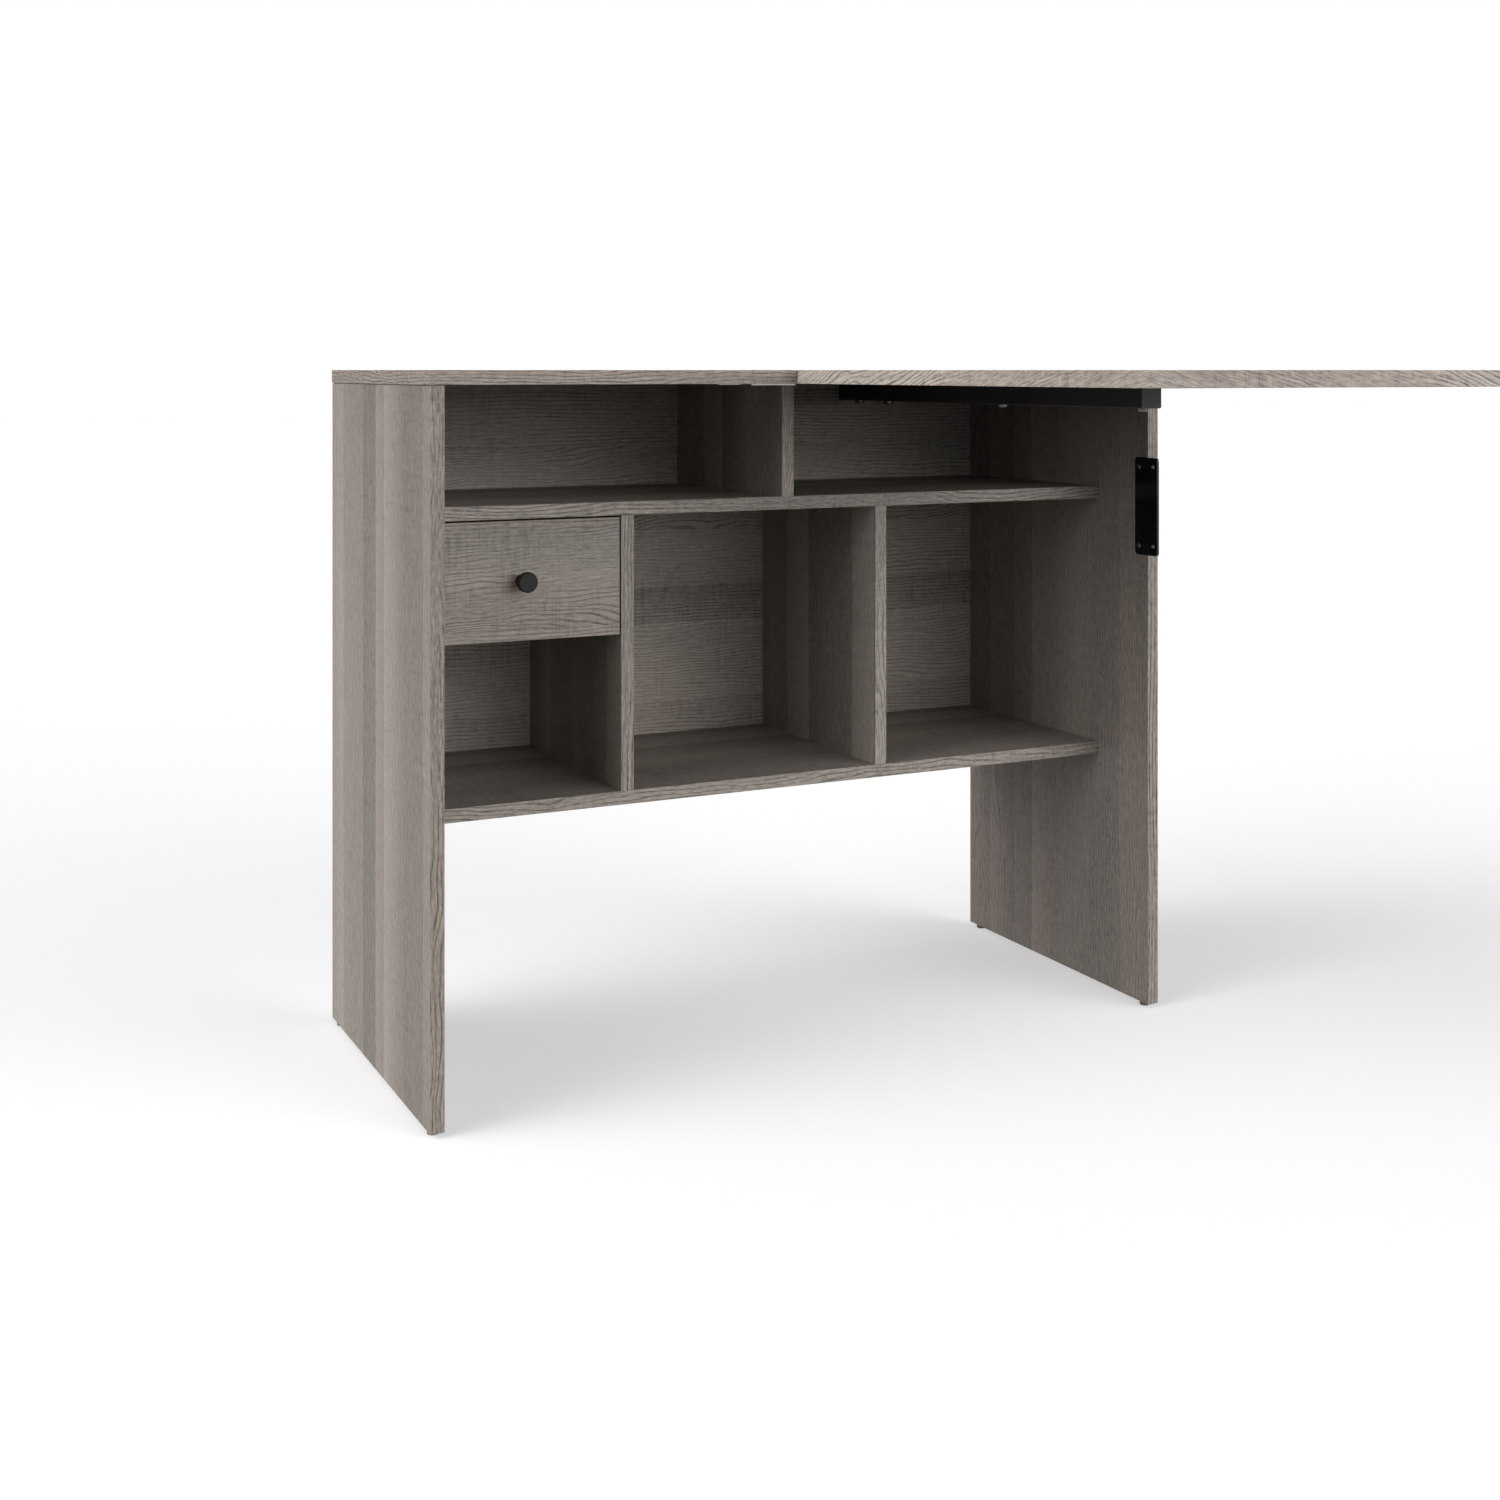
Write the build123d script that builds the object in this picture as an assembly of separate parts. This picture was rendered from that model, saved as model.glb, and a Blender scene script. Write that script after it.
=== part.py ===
"""L-shaped desk return with open storage bays, one drawer and a steel rail under the desk top.

Millimetres, +Z up.  The front faces -Y and +X is to the right of a person facing it.
The origin is on the floor, at the centre of the overall length and width.
"""
import os
from build123d import *

# ---- driving dimensions -------------------------------------------------------------
BOARD = 15.0                # thickness of every laminated board
WIDTH = 907.0               # left panel's outer face to right panel's outer face
PANEL_HEIGHT = 750.0
PANEL_DEPTH = 392.0
BACK_THICKNESS = 3.0
GLIDE_HEIGHT = 5.0
GLIDE_RADIUS = 6.0
GLIDE_INSET = 16.0          # glide centre from the front and rear edges of a panel
DESK_TOP_LENGTH = 1008.0    # second top, which runs out in front of the storage unit
RETURN_TOP_WIDTH = 415.0    # first top, from the left end to the butt seam
SHELF_RECESS = 97.0         # shelf fronts behind the front edges of the side panels
LEG_SPACE = 286.0           # below the lower shelf, from the foot of the side panels
UPPER_BAY = 130.0           # clear height between the upper shelf and the tops
LEFT_BAY = 231.5            # clear width of the bay that holds the drawer
EDGE_EASE = 0.4             # small rounding of the drawer front's outer edges
BAND = 1.0                  # edge band glued on each exposed edge of a board
BAND_EASE = 0.5             # rounding of a band's long outer edges
SHADOW_GAP = 1.0            # open line round a side panel's head, under the top
SHADOW_DEPTH = 2.5          # how far that line runs in from the panel's faces

# drawer
FRONT_GAP = 2.0             # round the drawer front
FRONT_HEIGHT = 129.0
BOX_BOARD = 12.0
BOX_HEIGHT = 90.0
BOX_LENGTH = 262.0
BOX_RISE = 18.0             # box sides above the lower edge of the front
BOTTOM_THICKNESS = 3.0
BOTTOM_RISE = 8.0           # drawer bottom above the lower edge of the box sides
GROOVE_DEPTH = 5.0
KNOB_RADIUS = 11.0
KNOB_REACH = 22.0

# ball-bearing drawer slides
SLIDE_SPACE = 12.75         # between a box side and the wall of the bay
SLIDE_LENGTH = 250.0
SHEET = 1.2
CABINET_MEMBER_HEIGHT = 27.0
CABINET_FLANGE = 10.0
DRAWER_MEMBER_HEIGHT = 16.2
DRAWER_FLANGE = 8.75
BALL_RADIUS = 2.0
BALLS_PER_ROW = 4
BALL_PITCH = 16.0
CAGE_LENGTH = 66.0

# steel rail under the desk top
RAIL_SIZE = 25.0
RAIL_WALL = 1.5
RAIL_LEFT = 682.5           # rail's left face from the left panel's outer face
RAIL_REAR = 5.0             # rail's rear end in front of the back panel
RAIL_LENGTH = 643.0
RAIL_BOLTS = (31.0, 106.0, 368.0, 629.0)    # from the rail's rear end
RAIL_EASE = 2.0             # rounding of the tube's long edges
RAIL_BOLT = (3.0, 35.0)     # radius, and length under the head
RAIL_BOLT_HEAD = (6.5, 3.6)     # radius and height
RAIL_BOLT_SOCKET = (2.3, 2.2)   # radius and depth
RAIL_BOLT_BORE = 3.25
INSERT = (5.0, 11.5)        # radius and length
PLUG_CAP = 2.0
PLUG_STEM = 10.0
PLUG_FIT = 0.1              # stem inside the tube, each side

# joining plate on the right panel
PLATE_WIDTH = 42.0
PLATE_HEIGHT = 117.5
PLATE_THICKNESS = 3.0
PLATE_FOOT = 542.0          # plate's lower edge above the foot of the panel
PLATE_CORNER = 4.0
PLATE_HOLE_INSET = (8.0, 11.0)
PLATE_SCREW = (2.0, 11.0)   # radius, and depth in the panel
PLATE_SCREW_HEAD = (3.4, 1.8)   # radius and height
PLATE_SCREW_BORE = 2.1
PLATE_FREE_BORE = 2.6
DRIVE_SIZE = (4.4, 0.8, 0.9)    # length, width and depth of the cross in a screw head
GROOVE_SIZE = (26.0, 4.0, 2.2)  # length, height and depth
GROOVE_HEIGHTS = (62.0, 92.0)   # above the plate's lower edge

# seam plates under the joint of the two tops
SEAM_PLATE = (58.0, 30.0, 2.0)      # across the seam, along it, thickness
SEAM_SCREW_PITCH = (38.0, 14.0)     # across and along the seam
SEAM_SCREW = (1.8, 3.4, 13.0)       # radius, head radius, length

# fittings
CLEARANCE = 0.05            # radial, round a fitting in its hole
CAM_INSET = 24.0            # cam centre from the joint
CAM_RADIUS = 7.4
CAM_HEIGHT = 12.3
CAM_COVER = 0.8
CAM_FLOOR = 2.0             # board left behind a cam, at least
CAM_PASSAGE = (3.8, 10.0, 19.0)     # radius, start from the joint, length
COVER_RIM = 1.0             # cover's lap round its cam
BOLT_DEPTH = 10.0           # cam bolt's thread in the other board
BOLT_THREAD = 3.0           # radii of the cam bolt and its bore
BOLT_SHANK = 2.5
BOLT_HEAD = 3.4
BOLT_BORE = 4.0
BOLT_HEAD_LENGTH = 4.0
BOLT_HEAD_START = 21.0      # from the joint
DOWEL_RADIUS = 4.0
DOWEL_LENGTH = 30.0
DOWEL_SHORT = 10.0          # shorter end
DOWEL_STEP = 32.0           # dowel beside its cam
FITTING_INSET = 45.0        # outermost cam or screw from a board's edge
NAIL_HEAD = (2.0, 0.6)      # radius and height
NAIL_SHANK = (0.8, 18.0)    # radius, and length with the head
GLIDE_NAIL_HEAD = (3.0, 1.0)
GLIDE_NAIL_SHANK = (1.1, 20.0)
GLIDE_RECESS = 1.5          # nail's head above the floor

# ---- positions ----------------------------------------------------------------------
left = -WIDTH / 2
right = WIDTH / 2
rear = DESK_TOP_LENGTH / 2
back_face = rear - BACK_THICKNESS
panel_front = back_face - PANEL_DEPTH
shelf_front = panel_front + SHELF_RECESS
foot = GLIDE_HEIGHT
head = foot + PANEL_HEIGHT
inner_left = left + BOARD
inner_right = right - BOARD
seam = left + RETURN_TOP_WIDTH

lower_z = (foot + LEG_SPACE, foot + LEG_SPACE + BOARD)
upper_z = (head - UPPER_BAY - BOARD, head - UPPER_BAY)
divider_left_x = (inner_left + LEFT_BAY, inner_left + LEFT_BAY + BOARD)
shared_bay = (inner_right - divider_left_x[1] - BOARD) / 2
divider_right_x = (divider_left_x[1] + shared_bay, divider_left_x[1] + shared_bay + BOARD)
upper_divider_x = (-BOARD / 2, BOARD / 2)

drawer_x = (inner_left + FRONT_GAP, divider_left_x[0] - FRONT_GAP)
drawer_z = (upper_z[0] - FRONT_GAP - FRONT_HEIGHT, upper_z[0] - FRONT_GAP)
box_x = (inner_left + SLIDE_SPACE, divider_left_x[0] - SLIDE_SPACE)
box_y = (shelf_front + BOARD, shelf_front + BOARD + BOX_LENGTH)
box_z = (drawer_z[0] + BOX_RISE, drawer_z[0] + BOX_RISE + BOX_HEIGHT)
bottom_z = (box_z[0] + BOTTOM_RISE, box_z[0] + BOTTOM_RISE + BOTTOM_THICKNESS)
drawer_middle = (drawer_x[0] + drawer_x[1]) / 2
knob_z = (drawer_z[0] + drawer_z[1]) / 2
slide_z = box_z[0] + 0.4 * BOX_HEIGHT
slide_y = (box_y[0] + 1, box_y[0] + 1 + SLIDE_LENGTH)

rail_x = (left + RAIL_LEFT, left + RAIL_LEFT + RAIL_SIZE)
rail_y = (back_face - RAIL_REAR - RAIL_LENGTH, back_face - RAIL_REAR)
rail_z = (head - RAIL_SIZE, head)

X, Y, Z = Vector(1, 0, 0), Vector(0, 1, 0), Vector(0, 0, 1)


# ---- shape helpers ------------------------------------------------------------------
def slab(x, y, z):
    """A box between pairs of coordinates."""
    size = [span[1] - span[0] for span in (x, y, z)]
    return Pos(x[0], y[0], z[0]) * Box(*size, align=(Align.MIN,) * 3)


def rod(start, direction, radius, length):
    """A cylinder that runs from start along direction."""
    place = Plane(origin=start, z_dir=direction)
    return place * Cylinder(radius, length, align=(Align.CENTER, Align.CENTER, Align.MIN))


def fused(pieces):
    """One solid from touching pieces."""
    solid = pieces[0]
    for piece in pieces[1:]:
        solid = solid + piece
    return solid


def evenly(first, last, count):
    """Evenly spaced values, both ends included."""
    return [first + (last - first) * i / (count - 1) for i in range(count)]


def save(name, *solids):
    """Write one sub-part: a solid, or a group of separate identical solids."""
    shape = solids[0] if len(solids) == 1 else Compound(children=[s.solid() for s in solids])
    export_step(shape, f"parts/{name}.step")


cuts = {}       # board name -> shapes to cut from it
groups = {}     # fitting name -> its solids


def cut(board, shape):
    cuts.setdefault(board, []).append(shape)


def add(group, solid):
    groups.setdefault(group, []).append(solid)


# ---- flat-pack fittings -------------------------------------------------------------
def cam_joint(joint, into, cam_axis, cam_board, bolt_board, thickness=BOARD, names=""):
    """Cam lock in one board and its bolt in the other; joint is on their shared face."""
    centre = joint + into * CAM_INSET
    pocket = centre - cam_axis * (thickness / 2)
    passage_radius, passage_start, passage_length = CAM_PASSAGE
    passage = rod(joint + into * passage_start, into, passage_radius, passage_length)
    height = min(CAM_HEIGHT, thickness - CAM_FLOOR)
    add(names + "cam_locks", rod(pocket, cam_axis, CAM_RADIUS, height) - passage)
    cover = rod(pocket - cam_axis * CAM_COVER, cam_axis, CAM_RADIUS + COVER_RIM, CAM_COVER)
    add(names + "cam_covers", cover)
    add(names + "cam_bolts", fused([
        rod(joint - into * BOLT_DEPTH, into, BOLT_THREAD, BOLT_DEPTH),
        rod(joint, into, BOLT_SHANK, BOLT_HEAD_START + 1),
        rod(joint + into * BOLT_HEAD_START, into, BOLT_HEAD, BOLT_HEAD_LENGTH)]))
    cut(cam_board, rod(pocket, cam_axis, CAM_RADIUS + CLEARANCE, height + CLEARANCE))
    cut(cam_board, rod(joint, into, BOLT_BORE, CAM_INSET))
    cut(bolt_board, rod(joint, -into, BOLT_THREAD + CLEARANCE, BOLT_DEPTH + CLEARANCE))


def dowel(joint, into, long_board, short_board, group="dowels"):
    """Wooden dowel across a joint, with its shorter end in short_board."""
    hole = DOWEL_RADIUS + CLEARANCE
    add(group, rod(joint - into * DOWEL_SHORT, into, DOWEL_RADIUS, DOWEL_LENGTH))
    cut(short_board, rod(joint, -into, hole, DOWEL_SHORT + CLEARANCE))
    cut(long_board, rod(joint, into, hole, DOWEL_LENGTH - DOWEL_SHORT + CLEARANCE))


def wood_screw(seat, into, through, board_a, board_b, length, group, radius=2.4, head_radius=4.7):
    """Flush-headed screw through board_a into board_b; seat is on board_a's outer face."""
    head_height = 2.0
    add(group, fused([rod(seat, into, head_radius, head_height), rod(seat, into, radius, length)]))
    cut(board_a, rod(seat, into, head_radius + CLEARANCE, head_height + CLEARANCE))
    cut(board_a, rod(seat, into, radius + CLEARANCE, through + CLEARANCE))
    cut(board_b, rod(seat + into * through, into, radius + CLEARANCE, length - through + CLEARANCE))


def join_shelf(name, z):
    """A shelf's four cams and four dowels, two of each at each end."""
    middle = (z[0] + z[1]) / 2
    ends = ((inner_left, X, "left_side_panel"), (inner_right, -X, "right_side_panel"))
    for x, into, panel in ends:
        for y, step in ((shelf_front + FITTING_INSET, 1), (back_face - FITTING_INSET, -1)):
            cam_joint(Vector(x, y, middle), into, Z, name, panel)
            dowel(Vector(x, y + step * DOWEL_STEP, middle), into, name, panel)


def join_top(name, panel, x, cam_axis):
    """Cams and dowels that hold a top board down on a side panel."""
    for y, step in ((panel_front + FITTING_INSET, 1), (back_face - FITTING_INSET, -1)):
        cam_joint(Vector(x, y, head), -Z, cam_axis, panel, name)
        dowel(Vector(x, y + step * DOWEL_STEP, head), -Z, panel, name)


def join_divider(name, x, z, board_above, board_below):
    """Dowels at a divider's head and long screws up through the board that it stands on."""
    middle = (x[0] + x[1]) / 2
    for y in (shelf_front + FITTING_INSET, back_face - FITTING_INSET):
        dowel(Vector(middle, y, z[1]), -Z, name, board_above)
        seat = Vector(middle, y, z[0] - BOARD)
        wood_screw(seat, Z, BOARD, board_below, name, 50, "divider_screws", 2.4, 4.7)


# ---- boards of the cabinet ----------------------------------------------------------
panel_y = (panel_front + BAND, back_face)
shelf_y = (shelf_front + BAND, back_face)
panel_z = (foot, head)
top_z = (head, head + BOARD)
upper_divider_z = (upper_z[1], head)
lower_divider_z = (lower_z[1], upper_z[0])
boards = {
    "left_side_panel": slab((left, inner_left), panel_y, panel_z),
    "right_side_panel": slab((inner_right, right), panel_y, panel_z),
    "return_top": slab((left + BAND, seam), (panel_front + BAND, rear), top_z),
    "desk_top": slab((seam + BAND, right - BAND), (BAND - rear, rear), top_z),
    "upper_shelf": slab((inner_left, inner_right), shelf_y, upper_z),
    "lower_shelf": slab((inner_left, inner_right), shelf_y, lower_z),
    "upper_divider": slab(upper_divider_x, shelf_y, upper_divider_z),
    "lower_divider_left": slab(divider_left_x, shelf_y, lower_divider_z),
    "lower_divider_right": slab(divider_right_x, shelf_y, lower_divider_z),
    "back_panel": slab((left + 2, right - 2), (back_face, rear), (lower_z[0], head)),
}

panel_front_y = (panel_front + BAND, panel_front + SHADOW_DEPTH)
gap_z = (head - SHADOW_GAP, head)
for panel, span, outer in (
        ("left_side_panel", (left, inner_left), (left, left + SHADOW_DEPTH)),
        ("right_side_panel", (inner_right, right), (right - SHADOW_DEPTH, right))):
    cut(panel, slab(outer, panel_y, gap_z))
    cut(panel, slab(span, panel_front_y, gap_z))


def edge_band(x, y, z, outward):
    """Thin strip on a board's edge, its two long outer edges eased."""
    strip = slab(x, y, z)
    outer = strip.faces().sort_by(lambda face: face.center().dot(outward))[-1]
    return fillet(outer.edges().sort_by(SortBy.LENGTH)[-2:], BAND_EASE)


def front_band(x, front, z):
    """Edge band on an edge that faces the front."""
    return edge_band(x, (front, front + BAND), z, -Y)


panel_band_z = (foot, head - SHADOW_GAP)
bands = {
    "left_panel_edge_band": [front_band((left, inner_left), panel_front, panel_band_z)],
    "right_panel_edge_band": [front_band((inner_right, right), panel_front, panel_band_z)],
    "return_top_edge_bands": [
        front_band((left + BAND, seam), panel_front, top_z),
        edge_band((left, left + BAND), (panel_front, rear), top_z, -X)],
    "desk_top_edge_bands": [
        edge_band((seam, seam + BAND), (-rear, rear), top_z, -X),
        edge_band((right - BAND, right), (-rear, rear), top_z, X),
        front_band((seam + BAND, right - BAND), -rear, top_z)],
    "upper_shelf_edge_band": [front_band((inner_left, inner_right), shelf_front, upper_z)],
    "lower_shelf_edge_band": [front_band((inner_left, inner_right), shelf_front, lower_z)],
    "upper_divider_edge_band": [front_band(upper_divider_x, shelf_front, upper_divider_z)],
    "left_divider_edge_band": [front_band(divider_left_x, shelf_front, lower_divider_z)],
    "right_divider_edge_band": [front_band(divider_right_x, shelf_front, lower_divider_z)],
}

join_shelf("upper_shelf", upper_z)
join_shelf("lower_shelf", lower_z)
join_top("return_top", "left_side_panel", left + BOARD / 2, -X)
join_top("desk_top", "right_side_panel", right - BOARD / 2, X)
join_divider("upper_divider", upper_divider_x, upper_divider_z, "desk_top", "upper_shelf")
for side, span in (("left", divider_left_x), ("right", divider_right_x)):
    join_divider(f"lower_divider_{side}", span, lower_divider_z, "upper_shelf", "lower_shelf")


# ---- back panel nails ---------------------------------------------------------------
def nail(x, z, board):
    """Flat-headed nail through the back panel into the rear edge of a board."""
    seat = Vector(x, rear, z)
    head_radius, head_height = NAIL_HEAD
    radius, length = NAIL_SHANK
    into_board = length - BACK_THICKNESS + 0.5
    add("back_nails", fused([rod(seat, -Y, head_radius, head_height), rod(seat, -Y, radius, length)]))
    cut("back_panel", rod(seat, -Y, head_radius + CLEARANCE, head_height))
    cut("back_panel", rod(seat, -Y, radius + CLEARANCE, BACK_THICKNESS))
    cut(board, rod(seat - Y * BACK_THICKNESS, -Y, radius + CLEARANCE, into_board))


for z in evenly(lower_z[1] + 30, head - 30, 5):
    nail(left + BOARD / 2, z, "left_side_panel")
    nail(right - BOARD / 2, z, "right_side_panel")
for x in evenly(inner_left + 60, inner_right - 60, 6):
    nail(x, (lower_z[0] + lower_z[1]) / 2, "lower_shelf")
    nail(x, (upper_z[0] + upper_z[1]) / 2, "upper_shelf")


# ---- seam plates under the butt joint of the two tops -------------------------------
def seam_plate(y):
    """Flat steel plate with two screws in each top."""
    length, width, thickness = SEAM_PLATE
    across, along = SEAM_SCREW_PITCH
    radius, head_radius, screw_length = SEAM_SCREW
    depth = screw_length - thickness
    plate = slab((seam - length / 2, seam + length / 2), (y - width / 2, y + width / 2),
                 (head - thickness, head))
    plate = fillet(plate.edges().filter_by(Axis.Z), 4)
    for step_x, board in ((-across / 2, "return_top"), (across / 2, "desk_top")):
        for step_y in (-along / 2, along / 2):
            seat = Vector(seam + step_x, y + step_y, head - thickness)
            plate = plate - rod(seat, Z, head_radius + CLEARANCE, thickness)
            screw = fused([rod(seat, Z, head_radius, thickness), rod(seat, Z, radius, screw_length)])
            add("seam_plate_screws", screw)
            cut(board, rod(seat + Z * thickness, Z, radius + CLEARANCE, depth + CLEARANCE))
    add("seam_plates", plate)


for y in (panel_front + 70, shelf_front + 60, back_face - 60):
    seam_plate(y)


# ---- floor glides -------------------------------------------------------------------
def glide(x, y, panel):
    """Round nail-on glide: a plastic foot with a steel nail."""
    centre = Vector(x, y, 0)
    seat = centre + Z * GLIDE_RECESS
    head_radius, head_height = GLIDE_NAIL_HEAD
    radius, length = GLIDE_NAIL_SHANK
    depth = length + GLIDE_RECESS - GLIDE_HEIGHT + 0.5
    disc = rod(centre, Z, GLIDE_RADIUS, GLIDE_HEIGHT)
    disc = fillet(disc.edges().group_by(Axis.Z)[0], 0.8)
    disc = disc - rod(centre, Z, head_radius + CLEARANCE, GLIDE_RECESS + head_height + 0.2)
    disc = disc - rod(seat, Z, radius + CLEARANCE, GLIDE_HEIGHT)
    add("floor_glides", disc)
    add("glide_nails", fused([rod(seat, Z, head_radius, head_height), rod(seat, Z, radius, length)]))
    cut(panel, rod(Vector(x, y, foot), Z, radius + CLEARANCE, depth))


for x, panel in ((left + BOARD / 2, "left_side_panel"), (right - BOARD / 2, "right_side_panel")):
    for y in (panel_front + GLIDE_INSET, back_face - GLIDE_INSET):
        glide(x, y, panel)


# ---- steel rail under the desk top --------------------------------------------------
def top_rail():
    """Square tube, with a clearance hole through both walls for each bolt."""
    tube = slab(rail_x, rail_y, rail_z)
    tube = fillet(tube.edges().filter_by(Axis.Y), RAIL_EASE)
    hollow = [(span[0] + RAIL_WALL, span[1] - RAIL_WALL) for span in (rail_x, rail_z)]
    tube = tube - slab(hollow[0], rail_y, hollow[1])
    middle = (rail_x[0] + rail_x[1]) / 2
    radius, length = RAIL_BOLT
    head_radius, head_height = RAIL_BOLT_HEAD
    insert_radius, insert_length = INSERT
    for step in RAIL_BOLTS:
        seat = Vector(middle, rail_y[1] - step, rail_z[0])
        under_top = seat + Z * RAIL_SIZE
        tube = tube - rod(seat, Z, RAIL_BOLT_BORE, RAIL_SIZE)
        bolt_head = rod(seat - Z * head_height, Z, head_radius, head_height)
        bolt_head = fillet(bolt_head.edges().group_by(Axis.Z)[0], 2)
        socket = rod(seat - Z * head_height, Z, *RAIL_BOLT_SOCKET)
        add("rail_bolts", fused([bolt_head, rod(seat, Z, radius, length)]) - socket)
        sleeve = rod(under_top, Z, insert_radius, insert_length)
        add("rail_inserts", sleeve - rod(under_top, Z, radius + CLEARANCE, insert_length))
        cut("desk_top", rod(under_top, Z, insert_radius + CLEARANCE, insert_length + CLEARANCE))
    return tube


def rail_plug(y, outward):
    """Plastic cap pushed into one end of the rail."""
    fit = RAIL_WALL + PLUG_FIT
    cap_y = sorted((y, y + outward * PLUG_CAP))
    stem_y = sorted((y, y - outward * PLUG_STEM))
    cap = fillet(slab(rail_x, cap_y, rail_z).edges().filter_by(Axis.Y), RAIL_EASE)
    stem = slab((rail_x[0] + fit, rail_x[1] - fit), stem_y, (rail_z[0] + fit, rail_z[1] - fit))
    return cap + stem


# ---- joining plate on the right panel's inner face ----------------------------------
def joining_plate():
    """Rounded steel plate with two grooves, half on the panel and half past its front edge."""
    plate_x = (inner_right - PLATE_THICKNESS, inner_right)
    plate_y = (panel_front - PLATE_WIDTH / 2, panel_front + PLATE_WIDTH / 2)
    plate_z = (foot + PLATE_FOOT, foot + PLATE_FOOT + PLATE_HEIGHT)
    plate = fillet(slab(plate_x, plate_y, plate_z).edges().filter_by(Axis.X), PLATE_CORNER)
    inset_y, inset_z = PLATE_HOLE_INSET
    radius, grip = PLATE_SCREW
    head_radius, head_height = PLATE_SCREW_HEAD
    long, wide, deep = DRIVE_SIZE
    for z in (plate_z[0] + inset_z, plate_z[1] - inset_z):
        free = Vector(plate_x[0], plate_y[0] + inset_y, z)
        seat = Vector(plate_x[0], plate_y[1] - inset_y, z)
        plate = plate - rod(free, X, PLATE_FREE_BORE, PLATE_THICKNESS)
        plate = plate - rod(seat, X, PLATE_SCREW_BORE, PLATE_THICKNESS)
        screw_head = rod(seat - X * head_height, X, head_radius, head_height)
        screw_head = fillet(screw_head.edges().group_by(Axis.X)[0], head_height * 2 / 3)
        shank = rod(seat, X, radius, PLATE_THICKNESS + grip)
        drive_x = (seat.X - head_height, seat.X - head_height + deep)
        bars = [slab(drive_x, (seat.Y - across / 2, seat.Y + across / 2), (z - up / 2, z + up / 2))
                for across, up in ((long, wide), (wide, long))]
        add("joining_plate_screws", fused([screw_head, shank]) - bars[0] - bars[1])
        cut("right_side_panel", rod(Vector(inner_right, seat.Y, z), X, radius + CLEARANCE, grip + 0.5))
    length, height, depth = GROOVE_SIZE
    for rise in GROOVE_HEIGHTS:
        z = plate_z[0] + rise
        bar = slab((plate_x[0], plate_x[0] + depth), (panel_front - length / 2, panel_front + length / 2),
                   (z - height / 2, z + height / 2))
        plate = plate - fillet(bar.edges().filter_by(Axis.X), height / 2 - 0.05)
    return plate


# ---- drawer slides ------------------------------------------------------------------
def channel(web_x, mouth, y, height, flange):
    """C-shaped sheet channel whose web starts at web_x and whose flanges run along mouth."""
    web = slab(sorted((web_x, web_x + mouth * SHEET)), y, (slide_z - height / 2, slide_z + height / 2))
    pieces = [web]
    for edge in (-1, 1):
        outer = slide_z + edge * height / 2
        z = sorted((outer, outer - edge * SHEET))
        pieces.append(slab(sorted((web_x, web_x + mouth * flange)), y, z))
    return fused(pieces)


def slide(side, wall, mouth):
    """One slide: wall is the bay wall's x, and mouth points from it towards the drawer."""
    box_face = wall + mouth * SLIDE_SPACE
    cabinet_member = channel(wall, mouth, slide_y, CABINET_MEMBER_HEIGHT, CABINET_FLANGE)
    drawer_member = channel(box_face, -mouth, slide_y, DRAWER_MEMBER_HEIGHT, DRAWER_FLANGE)
    wall_board = "left_side_panel" if side == "left" else "lower_divider_left"
    for y in (slide_y[0] + 35, slide_y[1] - 35):
        seat = Vector(wall + mouth * SHEET, y, slide_z)
        into = X * -mouth
        cabinet_member = cabinet_member - rod(seat, into, 3.0 + CLEARANCE, SHEET)
        add("slide_cabinet_screws", fused([rod(seat, into, 3.0, SHEET), rod(seat, into, 1.6, 12)]))
        cut(wall_board, rod(Vector(wall, y, slide_z), into, 1.6 + CLEARANCE, 11))
        seat = Vector(box_face - mouth * SHEET, y, slide_z)
        drawer_member = drawer_member - rod(seat, -into, 3.0 + CLEARANCE, SHEET)
        add("slide_drawer_screws", fused([rod(seat, -into, 3.0, SHEET), rod(seat, -into, 1.6, 11)]))
        cut(f"drawer_side_{side}", rod(Vector(box_face, y, slide_z), -into, 1.6 + CLEARANCE, 10))
    save(f"slide_cabinet_member_{side}", cabinet_member)
    save(f"slide_drawer_member_{side}", drawer_member)
    save(f"ball_cage_{side}", ball_cage(wall, mouth))


def ball_cage(wall, mouth):
    """Folded strip that spaces two rows of balls; it travels half as far as the drawer."""
    middle = (slide_y[0] + slide_y[1]) / 2
    y = (middle - CAGE_LENGTH / 2, middle + CAGE_LENGTH / 2)
    race = (CABINET_MEMBER_HEIGHT / 2 - SHEET + DRAWER_MEMBER_HEIGHT / 2) / 2
    web = sorted((wall + mouth * 2.0, wall + mouth * 2.8))
    fold = sorted((wall + mouth * 2.0, wall + mouth * 9.0))
    pieces = [slab(web, y, (slide_z - race - 0.5, slide_z + race + 0.5))]
    pieces += [slab(fold, y, (slide_z + s * race - 0.5, slide_z + s * race + 0.5)) for s in (-1, 1)]
    cage = fused(pieces)
    reach = (BALLS_PER_ROW - 1) * BALL_PITCH / 2
    for s in (-1, 1):
        for ball_y in evenly(middle - reach, middle + reach, BALLS_PER_ROW):
            centre = Vector(wall + mouth * 6.0, ball_y, slide_z + s * race)
            cage = cage - rod(centre - Z, Z, BALL_RADIUS + CLEARANCE, 2)
            add("slide_balls", Pos(centre) * Sphere(BALL_RADIUS))
    return cage


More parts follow.
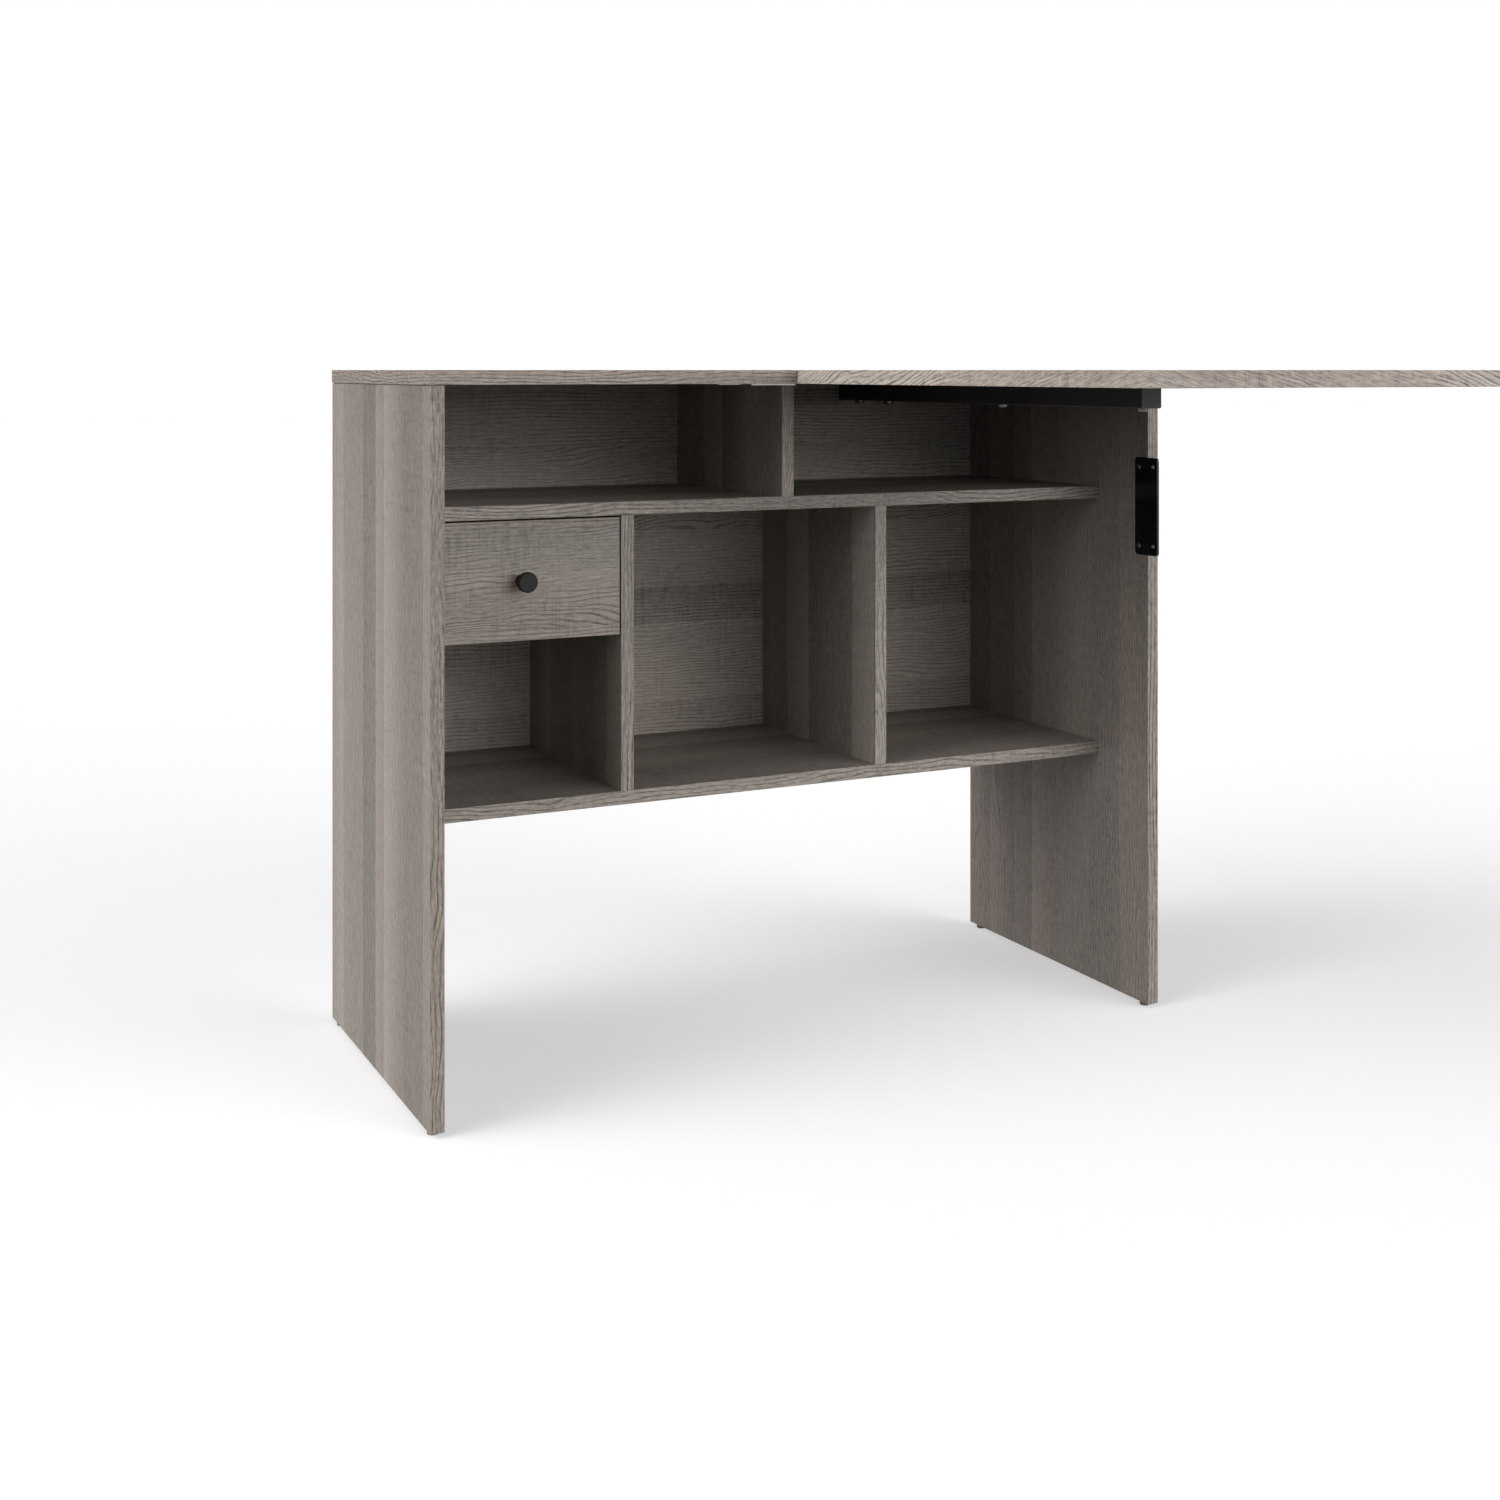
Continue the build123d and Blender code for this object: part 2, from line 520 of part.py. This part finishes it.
# ---- drawer -------------------------------------------------------------------------
def drawer_boards():
    """Front, two sides, back and bottom, with the grooves that hold the bottom."""
    inner_x = (box_x[0] + BOX_BOARD, box_x[1] - BOX_BOARD)
    back_y = (box_y[1] - BOX_BOARD, box_y[1])
    front = slab(drawer_x, (shelf_front, shelf_front + BOARD), drawer_z)
    front = fillet(front.faces().sort_by(Axis.Y)[0].edges(), EDGE_EASE)
    boards["drawer_front"] = front
    boards["drawer_side_left"] = slab((box_x[0], inner_x[0]), box_y, box_z)
    boards["drawer_side_right"] = slab((inner_x[1], box_x[1]), box_y, box_z)
    boards["drawer_back"] = slab(inner_x, back_y, box_z)
    reach = GROOVE_DEPTH - 0.5
    boards["drawer_bottom"] = slab((inner_x[0] - reach, inner_x[1] + reach),
                                   (box_y[0] - reach, back_y[0] + reach), bottom_z)
    groove = slab((inner_x[0] - GROOVE_DEPTH, inner_x[1] + GROOVE_DEPTH),
                  (box_y[0] - GROOVE_DEPTH, back_y[0] + GROOVE_DEPTH),
                  (bottom_z[0] - 0.1, bottom_z[1] + 0.1))
    for name in ("drawer_front", "drawer_side_left", "drawer_side_right", "drawer_back"):
        cut(name, groove)
    for side, x, inward in (("left", box_x[0], 1), ("right", box_x[1], -1)):
        middle = x + inward * BOX_BOARD / 2
        name = f"drawer_side_{side}"
        joint = Vector(middle, box_y[0], box_z[1] - 25)
        cam_joint(joint, Y, X * -inward, name, "drawer_front", BOX_BOARD, "drawer_")
        joint = Vector(middle, box_y[0], box_z[0] + 20 + BOTTOM_RISE)
        dowel(joint, Y, name, "drawer_front", "drawer_dowels")
        for z in (box_z[0] + 30, box_z[1] - 20):
            seat = Vector(x, back_y[0] + BOX_BOARD / 2, z)
            wood_screw(seat, X * inward, BOX_BOARD, name, "drawer_back", 38, "drawer_back_screws", 1.9, 3.9)


def drawer_knob():
    """Turned mushroom knob with a flat chamfered face, and its machine screw."""
    neck_base, neck, disc = 7.0, 5.0, 7.0
    profile = Polyline((0, 0), (neck_base, 0), (neck_base, 1.5), (neck, 4.5),
                       (neck, KNOB_REACH - disc), (KNOB_RADIUS - 1.0, KNOB_REACH - disc),
                       (KNOB_RADIUS, KNOB_REACH - disc + 1.0), (KNOB_RADIUS, KNOB_REACH - 1.4),
                       (KNOB_RADIUS - 1.4, KNOB_REACH), (0, KNOB_REACH), (0, 0))
    turned = revolve(make_face(Plane.XZ * profile), Axis.Z)
    place = Plane(origin=(drawer_middle, shelf_front, knob_z), z_dir=(0, -1, 0))
    face = Vector(drawer_middle, shelf_front, knob_z)
    knob = place * turned - rod(face, -Y, 2.0 + CLEARANCE, 11)
    seat = face + Y * BOARD
    screw = fused([rod(seat, Y, 4.0, 2.4), rod(seat, -Y, 2.0, BOARD + 10)])
    screw = screw - slab((seat.X - 2.6, seat.X + 2.6), (seat.Y + 1.4, seat.Y + 2.4),
                         (seat.Z - 0.5, seat.Z + 0.5))
    cut("drawer_front", rod(face, Y, 2.3, BOARD))
    return knob, screw


# ---- write every sub-part -----------------------------------------------------------
os.makedirs("parts", exist_ok=True)
save("top_rail", top_rail())
save("rail_end_plugs", rail_plug(rail_y[0], -1), rail_plug(rail_y[1], 1))
save("joining_plate", joining_plate())
drawer_boards()
slide("left", inner_left, 1)
slide("right", divider_left_x[0], -1)
knob, knob_screw = drawer_knob()
save("drawer_knob", knob)
save("knob_screw", knob_screw)
for name, board in boards.items():
    save(name, board - cuts[name] if name in cuts else board)
for name, solids in (bands | groups).items():
    save(name, *solids)
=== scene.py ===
"""Desk return with open bays and one drawer: finishes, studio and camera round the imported
CAD frame.  Metres, in the frame of the CAD model."""
import math
import bpy
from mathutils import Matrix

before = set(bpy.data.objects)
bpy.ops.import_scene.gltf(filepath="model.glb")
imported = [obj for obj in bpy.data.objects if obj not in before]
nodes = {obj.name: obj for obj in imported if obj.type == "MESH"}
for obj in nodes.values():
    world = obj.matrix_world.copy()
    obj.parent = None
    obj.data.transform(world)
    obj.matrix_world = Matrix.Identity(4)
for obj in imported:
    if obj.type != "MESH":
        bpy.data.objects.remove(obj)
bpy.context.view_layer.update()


# ---- node trees ---------------------------------------------------------------------
class Nodes:
    """A builder for one node tree.  Apart from feed and node, a method returns an output socket."""

    def __init__(self, tree):
        self.tree = tree

    def feed(self, socket, value):
        """Link a socket to an output, or set it to a constant."""
        if isinstance(value, bpy.types.NodeSocket):
            self.tree.links.new(value, socket)
        else:
            socket.default_value = value

    def node(self, kind, inputs, **settings):
        made = self.tree.nodes.new(kind)
        for key, value in settings.items():
            setattr(made, key, value)
        for key, value in inputs.items():
            self.feed(made.inputs[key], value)
        return made

    def math(self, operation, a, b=0.0, c=0.0):
        return self.node("ShaderNodeMath", {0: a, 1: b, 2: c}, operation=operation).outputs[0]

    def add(self, a, b):
        return self.math("ADD", a, b)

    def times(self, a, b):
        return self.math("MULTIPLY", a, b)

    def plus(self, total, value, weight):
        """total + value * weight."""
        return self.math("MULTIPLY_ADD", value, weight, total)

    def remap(self, factor, low, high, to_low=0.0, to_high=1.0):
        """The factor's range from low to high carried over to another, and clamped there."""
        inputs = {"Value": factor, "From Min": low, "From Max": high,
                  "To Min": to_low, "To Max": to_high}
        return self.node("ShaderNodeMapRange", inputs).outputs[0]

    def texture_place(self, kind):
        return self.node("ShaderNodeTexCoord", {}).outputs[kind]

    def join(self, x, y, z=0.0):
        return self.node("ShaderNodeCombineXYZ", {0: x, 1: y, 2: z}).outputs[0]

    def split(self, vector):
        """The three outputs of a vector taken apart."""
        return self.node("ShaderNodeSeparateXYZ", {0: vector}).outputs

    def scaled(self, vector, factor):
        inputs = {0: vector, 3: factor}
        return self.node("ShaderNodeVectorMath", inputs, operation="SCALE").outputs[0]

    def noise(self, vector, detail=2.0, roughness=0.5):
        """Noise between about 0.2 and 0.8 at one cell per unit of the vector."""
        inputs = {"Vector": vector, "Scale": 1.0, "Detail": detail, "Roughness": roughness}
        return self.node("ShaderNodeTexNoise", inputs).outputs["Fac"]

    def field(self, u, v, cells, shift, **settings):
        """Noise with a number of cells per metre along u and another along v."""
        place = self.join(self.times(u, cells[0]), self.times(v, cells[1]), shift)
        return self.noise(place, **settings)

    def swing(self, factor, half_width=0.2):
        """Noise stretched to run from -1 to 1."""
        return self.remap(factor, 0.5 - half_width, 0.5 + half_width, -1.0, 1.0)

    def mix(self, factor, a, b, blend="MIX"):
        made = self.node("ShaderNodeMix", {0: factor, 6: a, 7: b}, data_type="RGBA", blend_type=blend)
        return made.outputs[2]


class Surface(Nodes):
    """The node tree of one material."""

    def __init__(self, name):
        self.material = bpy.data.materials.new(name)
        self.material.use_nodes = True
        super().__init__(self.material.node_tree)
        self.principled = self.tree.nodes["Principled BSDF"]

    def bump(self, height, strength, distance):
        inputs = {"Height": height, "Strength": strength, "Distance": distance}
        self.feed(self.principled.inputs["Normal"], self.node("ShaderNodeBump", inputs).outputs[0])

    def paint(self, **sockets):
        """Feed the shader's sockets, named with underscores for spaces; returns the material."""
        for name, value in sockets.items():
            self.feed(self.principled.inputs[name.replace("_", " ")], value)
        return self.material


def opaque(colour, factor=1.0):
    return tuple(channel * factor for channel in colour) + (1.0,)


# ---- grey oak laminate --------------------------------------------------------------
OAK = (0.262, 0.230, 0.203)
OAK_GREEN = (0.975, 1.0, 0.99)
OAK_PINK = (1.02, 0.992, 0.985)
OAK_GLOSS = 0.3
AXES = {"x": (0, 2, 1), "y": (1, 0, 2), "z": (2, 1, 0)}   # along, across and through the grain

# repeats per metre: of planks and rings across the grain, of noise cells along it and across it
PLANKS_PER_METRE = 17.0
RINGS_PER_METRE = 215.0
DRIFT_CELLS = (1.3, 6.0)
SWIRL_CELLS = (4.0, 12.0)
RING_AREA_CELLS = (4.5, 24.0)
SHORT_FIBRE_CELLS = (95.0, 460.0)
LONG_FIBRE_CELLS = (26.0, 300.0)
SAW_MARK_CELLS = (130.0, 7.0)
SAW_PATCH_CELLS = (5.0, 13.0)

# shifts that keep boards, planks and noises from repeating each other
SEED_SHIFT = 0.37
PLANK_SHIFT = 9.0
RING_AREA_SHIFT = 3.3
LONG_FIBRE_SHIFT = 5.1
SAW_MARK_SHIFT = 8.8
SAW_PATCH_SHIFT = 2.7

# how the features are shaped
PLANK_WANDER = 0.04             # of a plank's width
RING_WANDER = (0.7, 5.0)        # rings, in the calmest and the wildest plank
RING_WANDER_POWER = 2.0         # above 1, so that few planks are wild
RING_HALF_WIDTH = 0.24          # of the distance between rings
RING_TONES = (-1.0, 0.38)       # in a ring's line and beside it
RING_AREA_RANGE = (0.32, 0.56)
FIBRE_BEND = 0.0022             # metres
FIBRE_SWING = 0.18
SAW_MARK_HALF_WIDTH = 0.035     # in the noise's own value
SAW_PATCH_RANGE = (0.42, 0.58)
SAW_PATCH_LEAST = 0.15

# how far each feature moves the tone from 1
PLANK_TONE = 0.17
PLANK_SIDE_TONE = 0.24
DRIFT_TONE = 0.07
RING_TONE = 0.46
SHORT_FIBRE_TONE = 0.24
LONG_FIBRE_TONE = 0.13
SAW_MARK_TONE = -0.20
DARKEST_TONE = 0.12

# the relief, relative to the long fibres
SHORT_FIBRE_RELIEF = 0.7
SAW_MARK_RELIEF = -1.5
RING_RELIEF = 1.5


def grain_place(s, along, seed, slope):
    """Metres along the grain and across it; the seed picks which part of the print shows."""
    place = s.split(s.texture_place("Object"))
    if along == "rim":
        u = s.add(place[0], place[1])
        v = s.add(place[2], SEED_SHIFT * seed)
    else:
        u, across, through = (place[axis] for axis in AXES[along])
        v = s.add(s.add(across, through), SEED_SHIFT * seed)
    return u, s.plus(v, u, slope)


def plank_strips(s, u, v, seed):
    """A slow drift of tone, three random values for each plank, and the place across the plank."""
    drift = s.swing(s.field(u, v, DRIFT_CELLS, seed))
    strip = s.plus(s.times(v, PLANKS_PER_METRE), drift, PLANK_WANDER)
    cell = s.node("ShaderNodeTexVoronoi", {"W": strip, "Scale": 1.0}, voronoi_dimensions="1D")
    lot = s.split(cell.outputs["Color"])
    return drift, lot, s.math("SUBTRACT", strip, cell.outputs["W"])


def growth_rings(s, u, v, seed, lot, amount):
    """Dark lines along the grain that wander more in some planks than in others."""
    wild = s.remap(s.math("POWER", lot[1], RING_WANDER_POWER), 0, 1, *RING_WANDER)
    plank = s.times(lot[0], PLANK_SHIFT)
    swirl = s.swing(s.field(u, v, SWIRL_CELLS, plank, detail=3.0))
    phase = s.plus(s.times(v, RINGS_PER_METRE), s.times(swirl, wild), amount)
    line = s.remap(s.math("PINGPONG", phase, 0.5), 0.0, RING_HALF_WIDTH, *RING_TONES)
    area = s.field(u, v, RING_AREA_CELLS, RING_AREA_SHIFT + seed, detail=3.0)
    return s.times(line, s.remap(area, *RING_AREA_RANGE)), swirl


def fibres(s, u, v, seed, swirl):
    """Short and long dashes along the grain, bent a little by the rings' swirl."""
    bend = s.plus(v, swirl, FIBRE_BEND)
    short = s.field(u, bend, SHORT_FIBRE_CELLS, seed, detail=3.0, roughness=0.7)
    long = s.field(u, bend, LONG_FIBRE_CELLS, LONG_FIBRE_SHIFT + seed, detail=3.0, roughness=0.65)
    return s.swing(short, FIBRE_SWING), s.swing(long, FIBRE_SWING)


def saw_marks(s, u, v, seed):
    """Hairlines across the grain, in patches."""
    mark = s.field(u, v, SAW_MARK_CELLS, SAW_MARK_SHIFT, detail=1.0)
    mark = s.math("ABSOLUTE", s.math("SUBTRACT", mark, 0.5))
    mark = s.remap(mark, 0.0, SAW_MARK_HALF_WIDTH, 1.0, 0.0)
    patch = s.field(u, v, SAW_PATCH_CELLS, SAW_PATCH_SHIFT + seed)
    return s.times(mark, s.remap(patch, *SAW_PATCH_RANGE, SAW_PATCH_LEAST, 1.0))


def oak(name, along, seed, value=1.0, contrast=1.0, planks=1.0, rings=1.0, saw=1.0, fibre=1.0,
        slope=0.0, figure=1.0):
    """Printed oak, at value times the mean colour; value paints light and shade, one board brighter
    or darker than another.

    contrast scales every feature of the tone, and planks, saw, fibre and figure, the rings' lines,
    scale one each.  rings scales how far the rings wander, and slope leans the grain off its axis.
    """
    s = Surface(name)
    u, v = grain_place(s, along, seed, slope)
    drift, lot, inside = plank_strips(s, u, v, seed)
    line, swirl = growth_rings(s, u, v, seed, lot, rings)
    short, long = fibres(s, u, v, seed, swirl)
    mark = saw_marks(s, u, v, seed)
    features = (
        (s.remap(lot[0], 0, 1, -1, 1), PLANK_TONE * planks),
        (s.times(inside, s.remap(lot[2], 0, 1, -1, 1)), PLANK_SIDE_TONE * planks),
        (drift, DRIFT_TONE),
        (line, RING_TONE * figure),
        (short, SHORT_FIBRE_TONE * fibre),
        (long, LONG_FIBRE_TONE * fibre),
        (mark, SAW_MARK_TONE * saw),
    )
    tone = 1.0
    for feature, weight in features:
        tone = s.plus(tone, feature, weight * contrast)
    tone = s.math("MAXIMUM", tone, DARKEST_TONE)
    hue = s.mix(s.remap(lot[2], 0.2, 0.8), opaque(OAK_GREEN), opaque(OAK_PINK))
    colour = s.mix(1.0, opaque(OAK, value), hue, "MULTIPLY")
    colour = s.mix(1.0, colour, s.join(tone, tone, tone), "MULTIPLY")
    height = s.plus(long, short, SHORT_FIBRE_RELIEF)
    height = s.plus(s.plus(height, mark, SAW_MARK_RELIEF), line, RING_RELIEF)
    s.bump(height, strength=0.3, distance=0.0002)
    s.principled.inputs["Specular IOR Level"].default_value = OAK_GLOSS
    return s.paint(Base_Color=colour, Roughness=s.remap(tone, 0.6, 1.4, 0.62, 0.50))


# ---- other finishes -----------------------------------------------------------------
CLOUD_CELLS = 60.0


def plain(name, colour, roughness, metallic=0.0, grain=900.0, depth=0.00004, relief=0.3, spread=0.06,
          gloss=0.5):
    """A manufactured surface with fine mottling in colour, roughness and relief.

    grain is cells per metre, depth is in metres, and spread is the mottling's share of the colour.
    """
    s = Surface(name)
    place = s.texture_place("Object")
    speck = s.noise(s.scaled(place, grain))
    cloud = s.noise(s.scaled(place, CLOUD_CELLS), detail=3.0)
    tint = s.mix(s.remap(speck, 0.35, 0.65), opaque(colour, 1 - spread), opaque(colour, 1 + spread))
    s.bump(speck, relief, depth)
    s.principled.inputs["Specular IOR Level"].default_value = gloss
    rough = s.remap(cloud, 0.3, 0.7, roughness * 0.9, min(1.0, roughness * 1.12))
    return s.paint(Base_Color=tint, Metallic=metallic, Roughness=rough)


def finish_node(name, material, bevel=0.0):
    """Give a CAD node its material, and a fine bevel where its edges show."""
    for slot in nodes[name].material_slots:
        slot.material = material
    if bevel:
        modifier = nodes[name].modifiers.new("eased_edges", "BEVEL")
        modifier.width = bevel
        modifier.segments = 2
        modifier.limit_method = "ANGLE"
        modifier.angle_limit = math.radians(40)


# ---- boards and their edge bands ----------------------------------------------------
BEVEL = 0.0005
BOARDS = {                                  # the grain's direction and the seed
    "left_side_panel": ("z", 1.0), "right_side_panel": ("z", 2.0), "return_top": ("x", 3.0),
    "desk_top": ("y", 4.0), "upper_shelf": ("x", 5.0), "lower_shelf": ("x", 6.0),
    "upper_divider": ("z", 7.0), "lower_divider_left": ("z", 8.0), "lower_divider_right": ("z", 9.0),
    "back_panel": ("x", 10.0), "drawer_front": ("x", 11.0),
}
BANDS = {
    "left_panel_edge_band": "z", "right_panel_edge_band": "z", "return_top_edge_bands": "rim",
    "desk_top_edge_bands": "rim", "upper_shelf_edge_band": "x", "lower_shelf_edge_band": "x",
    "upper_divider_edge_band": "z", "left_divider_edge_band": "z", "right_divider_edge_band": "z",
}
# Painted light and shade: parts of one oak made brighter or darker where light falls more or less on
# them; the desk top's bands are partly painted light and partly paler in themselves.
PAINTED_LIGHT_AND_BAND_TONE = {                                  # painted light and shade, part by part
    "left_side_panel": 0.92, "upper_divider": 1.15, "upper_shelf": 1.12, "back_panel": 1.15,
    "desk_top_edge_bands": 1.45, "return_top_edge_bands": 0.93, "upper_divider_edge_band": 1.2,
}
UPRIGHT_STYLE = {"planks": 1.3, "saw": 0.6, "figure": 0.5}
BACK_STYLE = {"planks": 1.3}
BAND_STYLE = {"contrast": 1.2, "planks": 0.5, "rings": 0.7, "saw": 0.7, "fibre": 1.2}
DESK_TOP_BAND_SLOPE = 0.25
FIRST_BAND_SEED = 21.0


def board_style(name, along):
    if along == "z":
        return UPRIGHT_STYLE
    return BACK_STYLE if name == "back_panel" else {}


def finish_boards():
    for name, (along, seed) in BOARDS.items():
        style = board_style(name, along)
        # the value lightens or darkens this board as painted light and shade
        finish_node(name, oak(f"oak_{name}", along, seed, PAINTED_LIGHT_AND_BAND_TONE.get(name, 1.0), **style), BEVEL)


def finish_bands():
    for index, (name, along) in enumerate(BANDS.items()):
        slope = DESK_TOP_BAND_SLOPE if name == "desk_top_edge_bands" else 0.0
        # the value lightens or darkens this band as painted light and shade; the desk top's bands are
        # also paler in themselves
        value = PAINTED_LIGHT_AND_BAND_TONE.get(name, 1.0)
        seed = FIRST_BAND_SEED + index
        finish_node(name, oak(f"oak_{name}", along, seed, value, slope=slope, **BAND_STYLE))


# ---- metal, plastic and the drawer box ----------------------------------------------
def finish_fittings():
    """Every node that isn't a board or a band; one without a finish of its own is zinc."""
    zinc = plain("zinc_steel", (0.55, 0.55, 0.56), 0.35, metallic=1.0)
    slide = plain("slide_steel", (0.5, 0.5, 0.51), 0.3, metallic=1.0)
    box = plain("drawer_box_laminate", (0.30, 0.27, 0.245), 0.55)
    dowel = plain("beech", (0.55, 0.38, 0.22), 0.6)
    cover = plain("cover_plastic", (0.22, 0.20, 0.18), 0.5)
    cam = plain("zinc_alloy", (0.5, 0.5, 0.51), 0.45, metallic=1.0)
    finishes = {
        "top_rail": plain("black_powder_coat", (0.010, 0.010, 0.0105), 0.5,
                          grain=1100, depth=0.0002, relief=0.5, spread=0.5),
        "joining_plate": plain("black_gloss_enamel", (0.003, 0.0033, 0.004), 0.22,
                               grain=70, depth=0.0002, relief=0.1, spread=0.1, gloss=0.25),
        "joining_plate_screws": plain("black_screw", (0.10, 0.10, 0.105), 0.3, metallic=0.8),
        "drawer_knob": plain("dark_knob", (0.012, 0.0117, 0.0112), 0.6,
                             grain=1800, depth=0.00008, relief=0.5, spread=0.2, gloss=0.22),
        "rail_end_plugs": plain("black_plastic", (0.02, 0.02, 0.02), 0.5),
        "floor_glides": plain("dark_plastic", (0.07, 0.06, 0.055), 0.35),
        "rail_bolts": plain("black_zinc", (0.10, 0.10, 0.10), 0.4, metallic=1.0),
        "rail_inserts": plain("yellow_zinc", (0.6, 0.48, 0.25), 0.35, metallic=1.0),
        "slide_balls": plain("ball_steel", (0.7, 0.7, 0.7), 0.1, metallic=1.0),
        "drawer_bottom": plain("drawer_bottom_board", (0.26, 0.235, 0.21), 0.6),
        "drawer_side_left": box, "drawer_side_right": box, "drawer_back": box,
        "dowels": dowel, "drawer_dowels": dowel,
        "cam_covers": cover, "drawer_cam_covers": cover,
        "cam_locks": cam, "drawer_cam_locks": cam,
    }
    for name in nodes:
        if name.startswith(("slide_cabinet_member", "slide_drawer_member", "ball_cage")):
            finish_node(name, slide)
        elif name not in BOARDS and name not in BANDS:
            finish_node(name, finishes.get(name, zinc))


# ---- studio -------------------------------------------------------------------------
WHITE = (1.0, 1.0, 1.0, 1.0)
KEY_BOX = {"azimuth": 180, "elevation": 25, "tightness": 10, "power": 6.4}
FRONT_BOX = {"azimuth": -60, "elevation": 0, "tightness": 6, "power": 6.2}
FILL = 0.12
HORIZON = 0.01                  # half the height over which the boxes fade out at the horizon
FLOOR_GLOW = 0.36
FLOOR_SIZE = 60
FLOOR_DROP = 0.0005


class Sky(Nodes):
    """White to the camera; to the object, two soft boxes above the horizon and a fill all round."""

    def __init__(self, name):
        self.world = bpy.data.worlds.new(name)
        self.world.use_nodes = True
        super().__init__(self.world.node_tree)
        way = self.texture_place("Generated")
        boxes = self.add(self.box(way, **KEY_BOX), self.box(way, **FRONT_BOX))
        above = self.remap(self.split(way)[2], -HORIZON, HORIZON)
        glow = self.plus(FILL, boxes, above)
        ray = self.node("ShaderNodeLightPath", {}).outputs["Is Camera Ray"]
        seen = self.add(ray, self.times(self.math("SUBTRACT", 1.0, ray), glow))
        background = self.tree.nodes["Background"]
        self.feed(background.inputs["Color"], WHITE)
        self.feed(background.inputs["Strength"], seen)

    def box(self, way, azimuth, elevation, tightness, power):
        """The glow of one soft box: its direction in degrees, azimuth counted from +X."""
        turn, rise = math.radians(azimuth), math.radians(elevation)
        aim = (math.cos(rise) * math.cos(turn), math.cos(rise) * math.sin(turn), math.sin(rise))
        facing = self.node("ShaderNodeVectorMath", {0: way, 1: aim}, operation="DOT_PRODUCT")
        facing = self.math("MAXIMUM", facing.outputs["Value"], 0.0)
        return self.times(self.math("POWER", facing, tightness), power)


def studio():
    """A white floor that glows a little and throws no diffuse light on the object, and the sky."""
    bpy.ops.mesh.primitive_plane_add(size=FLOOR_SIZE, location=(0, 0, -FLOOR_DROP))
    floor = bpy.context.object
    floor.name = "studio_floor"
    paint = plain("studio_floor", (0.80, 0.80, 0.80), 0.9, grain=40, depth=0.0001, relief=0.05,
                  spread=0.004)
    inputs = paint.node_tree.nodes["Principled BSDF"].inputs
    inputs["Emission Color"].default_value = WHITE
    inputs["Emission Strength"].default_value = FLOOR_GLOW
    paint.cycles.emission_sampling = "NONE"
    floor.data.materials.append(paint)
    floor.visible_diffuse = False
    bpy.context.scene.world = Sky("studio").world
    bpy.context.scene.view_settings.view_transform = "Standard"


# ---- camera -------------------------------------------------------------------------
CAMERA_PLACE = (-1.02126, -1.7578, 0.76981)
CAMERA_TURN = -26.3457          # degrees from facing +Y, positive to the left
SENSOR_WIDTH = 36.0
LENS = 46.208
SHIFT_Y = -0.25317


def camera():
    """Two-point perspective: a level camera at the height of the top, its frame shifted down."""
    data = bpy.data.cameras.new("camera")
    data.sensor_width = SENSOR_WIDTH
    data.lens = LENS
    data.shift_y = SHIFT_Y
    data.clip_start = 0.05
    data.clip_end = 100
    cam = bpy.data.objects.new("camera", data)
    cam.location = CAMERA_PLACE
    cam.rotation_euler = (math.radians(90), 0, math.radians(CAMERA_TURN))
    bpy.context.scene.collection.objects.link(cam)
    bpy.context.scene.camera = cam


finish_boards()
finish_bands()
finish_fittings()
studio()
camera()
